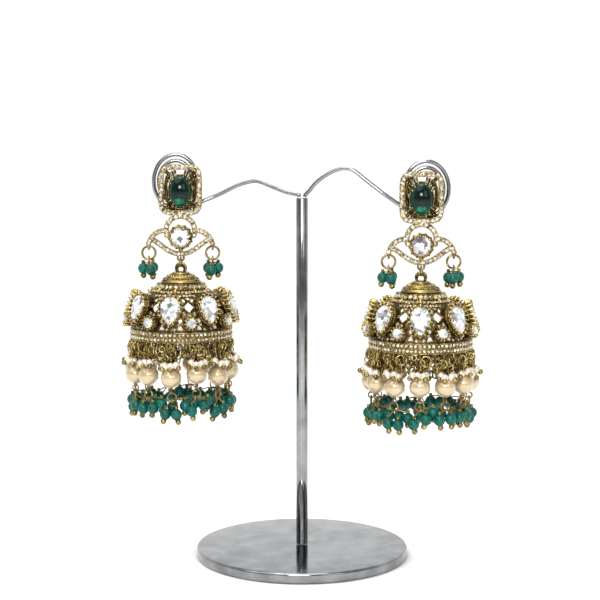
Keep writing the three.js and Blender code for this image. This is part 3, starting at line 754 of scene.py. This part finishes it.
def side_drop(spin):
    """A ring's drop of three beads, the first of them turned from the front by spin."""
    made = Build()
    made.add(LOOP, move(0, 0, SIDE_LOOP_Z) @ turn("y", 90), M_GOLD)
    low = (0, 0, SIDE_LOOP_Z - 1.0)
    for i in range(3):
        a = 2 * math.pi * i / 3 + math.radians(spin) + RNG.uniform(-0.12, 0.12)
        x, y = CLUSTER_RADIUS * math.sin(a), -CLUSTER_RADIUS * math.cos(a)
        z = SIDE_BEAD_Z + RNG.uniform(-0.1, 0.3) + (0.06, 0.45, 0.45)[i]
        bead_on_pin(made, low, (x, y, z), SIDE_BEAD, RNG.uniform(-16, 16, 2))
    for k in range(2):
        made.add(WRAP, move(0, 0, low[2] - 0.25 - 0.3 * k) @ size(1.2), M_GOLD)
    return made


def ring_piece(radius, wire, place):
    made = Build()
    made.add(torus(radius, wire, 48, 12), place, M_GOLD)
    return made


# -------- dome

SHELL = [  # radius and height of the shell's outside, from the cap down
    (5.6, -27.8), (6.9, -28.2), (7.6, -29.6), (9.6, -31.0), (11.8, -33.0), (13.3, -35.3),
    (14.2, -38.0), (14.65, -41.4)]
SHELL_PATH = spline([(r, 0, z) for r, z in SHELL], 4)[:, [0, 2]]
SHELL_FOOT = SHELL[-1][1]


def shell_radius(z):
    path = SHELL_PATH[::-1]
    return float(np.interp(z, path[:, 1], path[:, 0]))


# Where each pear and the gap after it are round the dome, in degrees
STONE_ANGLES = [(360 / DOME_STONES * k, 360 / DOME_STONES * (k + 0.5)) for k in range(DOME_STONES)]


def slope_at(z):
    """The shell's tilt at a height, as degrees that its outside faces up."""
    return math.degrees(math.atan((shell_radius(z - 0.4) - shell_radius(z + 0.4)) / 0.8))


def prism(points, angle, z, spin, reach=3.4):
    """A cutter of the shell with its place, across the wall at an angle and height."""
    flat = np.array(points, float)
    a = math.radians(spin)
    flat = flat @ np.array([[math.cos(a), math.sin(a)], [-math.sin(a), math.cos(a)]])
    rings = [[(x, y, d) for x, y in flat] for d in (-reach / 2, reach / 2)]
    return skin(rings), around(shell_radius(z) - 0.25, z, angle, 0, slope_at(z))


def pierced_shell():
    """The dome's wall with its openwork cut out, and the finish of each of its faces: painted light on
    the inner faces, oxide-and-shade gold on the outer ones.
    """
    inside = [(r - 0.55, z - 0.25) for r, z in SHELL_PATH]
    profile = list(SHELL_PATH)[::-1] + inside
    wall = Build()
    wall.add(lathe(profile, 160, closed=True))
    body = wall.object("shell_blank")
    cuts = Build()

    def diamond(w, h):
        return [(w / 2, 0), (0, h / 2), (-w / 2, 0), (0, -h / 2)]

    triangle = [(-1.0, -0.75), (1.0, -0.75), (0, 1.15)]
    slit = [(-0.38, -1.3), (0.38, -1.1), (0.38, 1.1), (-0.38, 1.3)]
    for pear, gap in STONE_ANGLES:
        holes = [(diamond(3.2, 3.5), gap, -34.1, 0), (diamond(1.1, 1.2), gap, -31.0, 0)]
        for way in (1, -1):
            holes += [(triangle, pear + way * 11.0, -40.1, 0),
                      (slit, gap + way * 6.6, -32.3, way * -35),
                      (diamond(1.4, 1.7), gap + way * 6.8, -36.1, 0),
                      (diamond(1.4, 1.8), gap + way * 11.6, -37.9, 0),
                      (diamond(1.0, 1.1), gap + way * 8.5, -30.6, 0),
                      (diamond(0.9, 1.0), gap + way * 16.5, -30.2, 0),
                      (diamond(1.0, 1.1), pear + way * 4.4, -40.6, 0)]
        for points, angle, z, spin in holes:
            form, place = prism(points, angle, z, spin)
            cuts.add(form, place)
    cutter = cuts.object("shell_cutter")
    boolean = body.modifiers.new("cut", "BOOLEAN")
    boolean.operation = "DIFFERENCE"
    boolean.solver = "EXACT"
    boolean.use_self = True
    boolean.object = cutter
    result = body.evaluated_get(bpy.context.evaluated_depsgraph_get()).to_mesh()
    verts = np.empty(len(result.vertices) * 3)
    result.vertices.foreach_get("co", verts)
    faces = [list(p.vertices) for p in result.polygons]
    inner = [p.normal.x * p.center.x + p.normal.y * p.center.y < 0 and len(p.vertices) > 2
             for p in result.polygons]
    made = Form(verts.reshape(-1, 3) * 1000, faces, smooth=False)
    # Inner faces take the painted light lining, outer faces the oxide-and-shade gold
    finish = np.where(inner, M_PAINTED_LIGHT, M_OXIDE_SHADE)
    body.to_mesh_clear()
    for old in (body, cutter):
        mesh = old.data
        bpy.data.objects.remove(old)
        bpy.data.meshes.remove(mesh)
    return made, finish


DEEPEST, SUNK = 7, 0.25  # a setting's greatest depth, and how far it goes into the shell's wall


def setting(outline, seat):
    """A stone's metal body, from its face back to the shell, in the plane through the front."""
    radius, z, tilt = seat
    place = facing(0, -radius, z, 0, tilt)
    inward = -place[:3, 2]
    front, back = [], []
    for x, y in outline:
        start = (place @ np.array([x, y, -0.1, 1]))[:3]
        depth = 0.0
        while depth < DEEPEST:
            p = start + inward * depth
            if math.hypot(p[0], p[1]) < shell_radius(max(p[2], SHELL_FOOT)) - SUNK:
                break
            depth += 0.05
        front.append(start)
        back.append(start + inward * depth)
    return skin([back, front])


def cap(made):
    """The stepped cap with its grains and small stones, and the bail on top."""
    steps = [(0, -24.75), (1.5, -24.78), (2.35, -24.85), (2.5, -25.3), (3.2, -25.45), (4.1, -25.75),
             (4.35, -26.1), (4.4, -26.6), (5.1, -26.75), (5.6, -27.0), (5.9, -27.4), (5.85, -27.9),
             (5.3, -28.2), (0, -28.2)]
    made.add(lathe(steps[::-1], 72), finish=M_SATIN)
    made.add(torus(2.35, 0.4, 48, 10), move(0, 0, -25.05), M_SATIN)
    made.add(torus(3.15, 0.22, 48, 8), move(0, 0, -25.4), M_GOLD)
    made.add(torus(4.62, 0.28, 60, 8), move(0, 0, -26.35), M_GOLD)
    flange = [(4.9, -27.3), (5.6, -27.75), (5.95, -27.75), (5.9, -27.3), (5.5, -26.8), (4.9, -26.6)]
    made.add(lathe(flange, 72, closed=True), finish=M_SATIN)
    for i in range(26):
        a = 2 * math.pi * i / 26
        grain = move(3.9 * math.cos(a), 3.9 * math.sin(a), -25.75) @ size(0.42, 0.42, 0.34)
        made.add(GRAIN, grain, M_PAINTED_GLINT)
    for i in range(30):
        angle = 12.0 * i
        made.add(DOT, turn("z", angle) @ move(0, -4.75, -26.5) @ size(0.4, 0.36, 0.36), M_GOLD)
        made.add(DOT, turn("z", angle + 6) @ move(0, -5.12, -26.76) @ size(0.36), (M_BEAD, M_GOLD)[i % 2])
    made.add(torus(1.48, 0.4, 36, 12), move(0, 0, BAIL_Z) @ FRONT, M_GOLD)
    made.add(torus(1.25, 0.3, 36, 10), move(0.1, 0.55, BAIL_Z - 0.35) @ FRONT, M_GOLD)
    made.add(torus(1.25, 0.3, 36, 10), move(-0.1, -0.55, BAIL_Z - 0.35) @ FRONT, M_OXIDE_SHADE)
    made.add(lathe([(0, -25.0), (1.25, -25.0), (1.1, -24.7), (0.6, -24.45), (0, -24.4)], 32),
             finish=M_GOLD)


def strut(made, points, wire, finish=M_OXIDE_SHADE):
    """A bar of the openwork through points given as angle and height on the shell."""
    path = []
    for angle, z in points:
        a, r = math.radians(angle), shell_radius(z) - 0.15
        path.append((r * math.sin(a), -r * math.cos(a), z))
    made.add(tube(spline(path, 3), wire, 6), finish=finish)


def stone_on_dome(made, angle, z, radius, lift=0.05):
    """A small stone on the shell, in a cup with four round prongs."""
    place = around(shell_radius(z) + lift, z, angle, RNG.uniform(0, 45), slope_at(z))
    made.add(PAVE_STONE, place @ size(radius), M_PAVE)
    made.add(CUP, place @ size(radius * 1.08, radius * 1.08, radius * 0.9), M_GOLD)
    for k in range(4):
        a = math.pi * (k + 0.5) / 2
        spot = place @ move(radius * 1.16 * math.cos(a), radius * 1.16 * math.sin(a), 0.12)
        made.add(GRAIN, spot @ size(0.2), M_PAINTED_GLINT)


def on_seat(seat, angle):
    radius, z, tilt = seat
    return around(radius, z, angle, 0, tilt)


def claws(made, place, outline, count, out, thick, stand):
    """Claws round a stone's edge, that rise beside it and bend over it."""
    edge = resample(outline, count, True)
    before, after = np.roll(edge, 1, 0), np.roll(edge, -1, 0)
    for (x, y), b, a in zip(edge, before, after):
        along = (a - b) / np.linalg.norm(a - b)
        normal = np.array([along[1], -along[0]])
        if np.dot(normal, (x, y)) < 0:
            normal = -normal
        height = stand * RNG.uniform(0.85, 1.15)

        def at(off, up):
            return (x + normal[0] * off, y + normal[1] * off, up)

        path = [at(out * 0.4, -1.5), at(out, -0.1), at(out * 0.9, height * 0.7), at(-0.15, height)]
        made.add(spike(path, thick, thick * 0.5), place, M_PAINTED_GLINT)
        made.add(GRAIN, place @ move(*at(-0.3, 0.45)) @ size(0.24), M_PAINTED_GLINT)
    for depth, share, wire in ((-0.35, 1.04, 0.26), (-1.5, 1.03, 0.24)):
        ring = [(x, y, depth) for x, y in resample(outline, 36, True) * share]
        made.add(tube(ring, wire, 5, True), place, M_GOLD)


def dome_forms():
    made = Build()
    shell, finish = pierced_shell()
    made.add(shell, finish=finish)
    backing = SHELL_PATH[3::3]  # a pale lining just behind the openings: painted light where they are seen through
    profile = [(r - 0.3, z - 0.1) for r, z in backing][::-1] + [(r - 0.4, z - 0.16) for r, z in backing]
    made.add(lathe(profile, 80, closed=True), finish=M_PAINTED_LIGHT)
    cap(made)
    for i in range(30):
        stone_on_dome(made, 12 * i, -28.75, 0.62, 0.12)
    for r, z, wire in ((7.35, -29.6, 0.22), (6.5, -28.15, 0.2)):
        made.add(torus(r, wire, 72, 7), move(0, 0, z), M_GOLD)

    for pear, gap in STONE_ANGLES:
        # Lattice of small stones and bars between the pears
        for i in range(6):
            stone_on_dome(made, pear + 7.5 * i, -30.15, 0.42)
        for way in (1, -1):
            rows = [(gap + way * 5.2, -31.1, 0.4), (gap + way * 12.0, -31.2, 0.36),
                    (gap + way * 11.0, -33.4, 0.36), (gap + way * 6.6, -36.2, 0.36),
                    (gap + way * 12.8, -39.2, 0.36), (gap + way * 15.6, -37.6, 0.36)]
            for angle, z, radius in rows:
                stone_on_dome(made, angle, z, radius)
            strut(made, [(gap + way * 8.5, -30.7), (gap, -32.0), (gap - way * 7.4, -34.1),
                         (gap, -36.3), (gap + way * 6.0, -37.4)], 0.26)
            strut(made, [(gap + way * 8.5, -31.2), (gap + way * 11.0, -33.4), (gap + way * 9.5, -35.6)],
                  0.24)
            stone_on_dome(made, gap + way * 7.6, -34.1, 0.34, 0.15)
        for z in (-30.3, -31.9, -36.5):
            stone_on_dome(made, gap, z, 0.42, 0.22)
        strut(made, [(pear, -28.3), (pear, -29.4), (pear, -30.4)], 0.5, M_PAINTED_GLINT)
        for z in (-28.9, -29.5, -30.1):
            made.add(GRAIN, around(shell_radius(z) + 0.3, z, pear) @ size(0.42, 0.2, 0.3), M_PAINTED_GLINT)

        # Large pear in its setting
        body = setting(pear_points(*PEAR_BODY, 26), PEAR_SEAT)
        made.add(body, turn("z", pear), M_OXIDE_SHADE)
        place = on_seat(PEAR_SEAT, pear)
        made.add(cut_stone(pear_points(*PEAR_STONE, 18), 0.5, 0.85, 0.85, 0.55), place, M_CRYSTAL)
        claws(made, place, pear_points(*PEAR_CLAWS, 60), 18, 0.4, 0.42, 0.75)

        # Small round stone between two pears
        body = setting(disc_points(ROUND_BODY, 20), ROUND_SEAT)
        made.add(body, turn("z", gap), M_OXIDE_SHADE)
        place = on_seat(ROUND_SEAT, gap)
        made.add(ROUND_BRILLIANT, place @ size(ROUND_STONE, ROUND_STONE, 1.7), M_CRYSTAL)
        claws(made, place, disc_points(ROUND_CLAWS, 30), 12, 0.26, 0.24, 0.6)

    # Rim band: two rows of stones between wires
    band = lathe([(14.0, -44.3), (14.2, -44.47), (15.0, -44.47), (15.1, -44.3), (15.1, -41.4),
                  (15.0, -41.28), (14.2, -41.28), (14.0, -41.4)], 144, closed=True)
    made.add(band, finish=M_OXIDE_SHADE)
    for z, wire in ((-41.42, 0.2), (-42.82, 0.15), (-44.3, 0.2)):
        made.add(torus(15.15, wire, 110, 6), move(0, 0, z), M_GOLD)
    for z, count, radius in ((-42.08, 72, 0.52), (-43.55, 78, 0.5)):
        for i in range(count):
            angle = 360 * i / count
            place = around(15.16, z, angle, RNG.uniform(0, 45))
            made.add(PAVE_STONE, place @ size(radius), M_PAVE)
            made.add(CUP, place @ size(radius * 1.06, radius * 1.06, radius), M_GOLD)
            for way in (1, -1):
                spot = around(15.3, z + way * 0.5, angle + 180 / count)
                made.add(GRAIN, spot @ size(0.19), M_PAINTED_GLINT)
    for i in range(120):
        made.add(GRAIN, around(15.2, -44.42, 3 * i) @ size(0.17), M_PAINTED_GLINT)
    return made


# -------- fringe

def jump_ring(made, x, y, z, radius, wire, spin, lean, finish=M_GOLD):
    """A wire ring that faces the front, leant over and then turned round the vertical."""
    place = move(x, y, z) @ turn("z", spin) @ turn("y", lean) @ FRONT
    made.add(wire_ring(radius, wire), place, finish)


def strand():
    """One strand in its own frame: its axis is Z, and -Y is outward."""
    made = Build()
    rnd = RNG.uniform
    drop = rnd(-0.9, 0.4)  # how much higher than the mean this strand's pearl and beads hang
    pearl_z, bead_z = PEARL_Z + drop, BEAD_Z + drop

    # Rings and loops that hang from the rim
    jump_ring(made, 0, 0, -45.35, 0.85, 0.2, 90, 0)
    jump_ring(made, rnd(-0.2, 0.2), 0, -47.3, 1.6, 0.22, rnd(-25, 25), rnd(-12, 12), M_PAINTED_GLINT)
    jump_ring(made, rnd(-0.2, 0.2), 0, -49.6, 1.35, 0.22, 90 + rnd(-20, 20), rnd(-10, 10))
    for way in (1, -1):
        jump_ring(made, way * rnd(1.5, 2.3), rnd(-0.5, 0.5), -46.4 + rnd(-0.4, 0.4), 1.5, 0.2,
                  rnd(-60, 60), rnd(-20, 20), M_PAINTED_GLINT if way > 0 else M_GOLD)
        jump_ring(made, way * rnd(1.7, 2.7), rnd(-0.8, 0.3), -48.8 + rnd(-0.5, 0.5), 1.5, 0.2,
                  rnd(-70, 70), rnd(-25, 25))
        jump_ring(made, way * rnd(2.6, 3.5), rnd(-0.4, 0.4), -45.6 + rnd(-0.2, 0.2), 0.8, 0.18, 90, 0)
    # Rings of the ring zone in gold, painted glint gold and oxide-and-shade gold, which paints glints and
    # shade among them
    for k in range(20):
        jump_ring(made, rnd(-3.8, 3.8), rnd(-0.8, 2.2), -45.2 - 0.3 * k + rnd(-0.3, 0.3),
                  (0.8, 1.0, 1.2)[k % 3], 0.24, rnd(0, 180), rnd(-35, 35),
                  (M_PAINTED_GLINT, M_OXIDE_SHADE, M_GOLD, M_PAINTED_GLINT, M_GOLD)[k % 5])
    for k in range(5):
        x, y, z = rnd(-3.2, 3.2), rnd(-0.7, 0.7), -47.2 + rnd(-1.6, 1.2)
        made.add(tube([(x, y, z + 1.3), (x + rnd(-1, 1), y, z), (x + rnd(-0.6, 0.6), y, z - 1.4)],
                      0.2, 6), finish=(M_GOLD, M_OXIDE_SHADE)[k % 2])

    # Seed pearls, each on a pin with a small gold ball
    for start in (-72, -26, 18, 62, 165):
        a = math.radians(start + rnd(-12, 12))
        reach = rnd(2.0, 2.6)
        x, y = reach * math.sin(a), -reach * math.cos(a)
        z = -50.6 + rnd(-0.55, 0.45)
        made.add(SMALL_PEARL, move(x, y, z) @ size(1.15), M_SEED)
        made.add(tube(spline([(0, 0, -49.3), (x * 0.5, y * 0.5, z + 1.5), (x * 0.95, y * 0.95, z + 1.1)],
                             3), 0.17, 6), finish=M_GOLD)
        end = (x * 1.42, y * 1.55, z - 0.75)
        made.add(tube([(x, y, z - 0.2), end], 0.15, 6), finish=M_GOLD)
        made.add(DOT, move(*end) @ size(0.8), M_GOLD)

    # Large pearl on its wire, with wraps above and below
    for k in range(4):
        made.add(WRAP, move(0, 0, pearl_z + 3.1 + 0.3 * k), M_GOLD)
    shape = turn("x", rnd(-8, 8)) @ size(LARGE_PEARL, LARGE_PEARL, 3.0)
    made.add(PEARL_FORM, move(0, 0, pearl_z) @ shape, M_PEARL)
    for k in range(2):
        made.add(WRAP, move(0, 0, pearl_z - 3.1 - 0.3 * k), M_GOLD)
    jump_ring(made, 0, 0, pearl_z - 4.2, 0.85, 0.22, 90, 0)
    jump_ring(made, rnd(-0.2, 0.2), 0, pearl_z - 5.7, 1.3, 0.22, rnd(-20, 20), rnd(-8, 8))

    # Cluster of four green beads, two in front and two behind
    low = (0, 0, pearl_z - 6.6)
    for x, y, lift in ((CLUSTER_RADIUS, -0.3, 0.0), (-CLUSTER_RADIUS, 0.0, 0.0),
                       (0.1, 2.4, 1.2), (3.8, 2.0, 1.5)):
        z = bead_z + lift + rnd(-1.3, 0.6)
        centre = (x + rnd(-0.2, 0.2), y + rnd(-0.5, 0.3), z)
        bead_on_pin(made, low, centre, FRINGE_BEAD, rnd(-18, 18, 2))
    return made


# -------- assembly

stand()
DOME = dome_forms()
for name, (way, dome_turn) in SIDES.items():
    arm(name)
    # The stud frame's centre, from where the CAD model has the oval stone
    low, high = (np.array(corner) * 1000 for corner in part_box(name + "_cabochon"))
    here = move((low[0] + high[0]) / 2, high[1] + 0.5, (low[2] + high[2]) / 2 + STONE_DROP)
    turned = here @ turn("z", dome_turn)
    dropped = here @ move(0, 0, -STONE_DROP)
    stud_frame().stand_in(f"{name}_stud_frame", "stand", "antique_gold", here)
    cabochon().stand_in(f"{name}_cabochon", "stand", "green_cabochon", dropped)
    round_stone().stand_in(f"{name}_round_stone", "stand", "clear_stone", here)
    for spot, x in (("outer", way * WING_REACH), ("inner", -way * WING_REACH)):
        ring_piece(2.0, 0.33, move(x, 0, SIDE_RING_Z) @ FRONT).stand_in(
            f"{name}_{spot}_ring", "stand", "antique_gold", here)
        side_drop(LEFT_SPIN if x < 0 else RIGHT_SPIN).stand_in(
            f"{name}_{spot}_drop", "stand", "green_bead", here @ move(x, 0, 0))
    ring_piece(1.325, 0.3, move(0, 0, LINK_Z) @ turn("y", 90)).stand_in(
        f"{name}_link", f"link_{name}", "antique_gold", here)
    DOME.stand_in(f"{name}_dome", f"dome_{name}", "antique_gold", turned)
    for i in range(STRANDS):
        spot = turned @ turn("z", 360 / STRANDS * i) @ move(0, -STRAND_RADIUS, 0)
        strand().stand_in(f"{name}_strand_{i + 1:02d}", f"dome_{name}", "pearl", spot)


# -------- studio

def floor():
    """A pale floor, wide enough to fill the view."""
    mat, tree, shader = new_material("floor", Roughness=0.9)
    tone = ramp(tree, noise(tree, 2.0, 2.0), [(0.3, (0.93, 0.93, 0.93)), (0.7, (0.95, 0.95, 0.95))])
    tree.links.new(tone, shader.inputs["Base Color"])
    mesh = bpy.data.meshes.new("floor")
    wide, low = 6.0, -0.0002  # just under the base
    mesh.from_pydata([(-wide, -wide, low), (wide, -wide, low), (wide, wide, low), (-wide, wide, low)],
                     [], [(0, 1, 2, 3)])
    mesh.materials.append(mat)
    made = new_object("floor", mesh)


def aim(obj, target):
    """Turns a light or camera at where it stands, to look at the target."""
    way = np.array(target, float) - np.array(obj.location, float)
    way /= np.linalg.norm(way)
    obj.rotation_euler = (math.acos(-way[2]), 0, math.atan2(-way[0], way[1]))


def world():
    """A backdrop of light, darker in front so that metal and stones show contrast."""
    made = bpy.data.worlds.new("studio")
    bpy.context.scene.world = made
    made.use_nodes = True
    tree = made.node_tree
    back = tree.nodes["Background"]
    at = tree.nodes.new("ShaderNodeTexCoord")
    split = tree.nodes.new("ShaderNodeSeparateXYZ")
    tree.links.new(at.outputs["Generated"], split.inputs[0])
    shade = tree.nodes.new("ShaderNodeMapRange")
    shade.inputs["From Min"].default_value = -1.0
    tree.links.new(split.outputs["Y"], shade.inputs["Value"])
    tone = ramp(tree, shade.outputs[0], [(0.0, (0.26, 0.26, 0.27)), (0.3, (0.41, 0.41, 0.42)),
                                         (0.6, (0.85, 0.85, 0.86)), (0.85, (1.05, 1.05, 1.05))])
    tree.links.new(tone, back.inputs[0])


def light(kind, name, where, target, power):
    data = bpy.data.lights.new(name, kind)
    data.energy = power
    made = new_object(name, data)
    made.location = where
    aim(made, target)
    return data


def sun(name, where, power, spread_deg):
    light("SUN", name, where, (0, 0, 0), power).angle = math.radians(spread_deg)


def area_light(name, where, target, wide, high, power):
    data = light("AREA", name, where, target, power)
    data.shape = "RECTANGLE"
    data.size, data.size_y = wide, high


floor()
world()
sun("overall", (-0.3, -0.35, 0.9), 1.45, 60)
area_light("key", (-0.04, -0.62, 0.31), (0, 0, 0.08), 0.24, 0.13, 2.0)
area_light("fill", (0.36, -0.55, 0.35), (0, 0, 0.07), 0.3, 0.3, 0.5)
area_light("top", (0.0, 0.05, 0.6), (0, 0, 0.05), 0.3, 0.3, 1.0)

TARGET = np.array([-0.0006, 0.0, 0.0779])
ELEVATION, DISTANCE = math.radians(6.0), 0.45
camera = new_object("camera", bpy.data.cameras.new("camera"))
camera.data.lens, camera.data.sensor_width = 90.0, 36.0
camera.data.clip_start, camera.data.clip_end = 0.02, 50.0
camera.location = TARGET + DISTANCE * np.array([0, -math.cos(ELEVATION), math.sin(ELEVATION)])
aim(camera, TARGET)
bpy.context.scene.camera = camera
bpy.context.scene.view_settings.view_transform = "Standard"
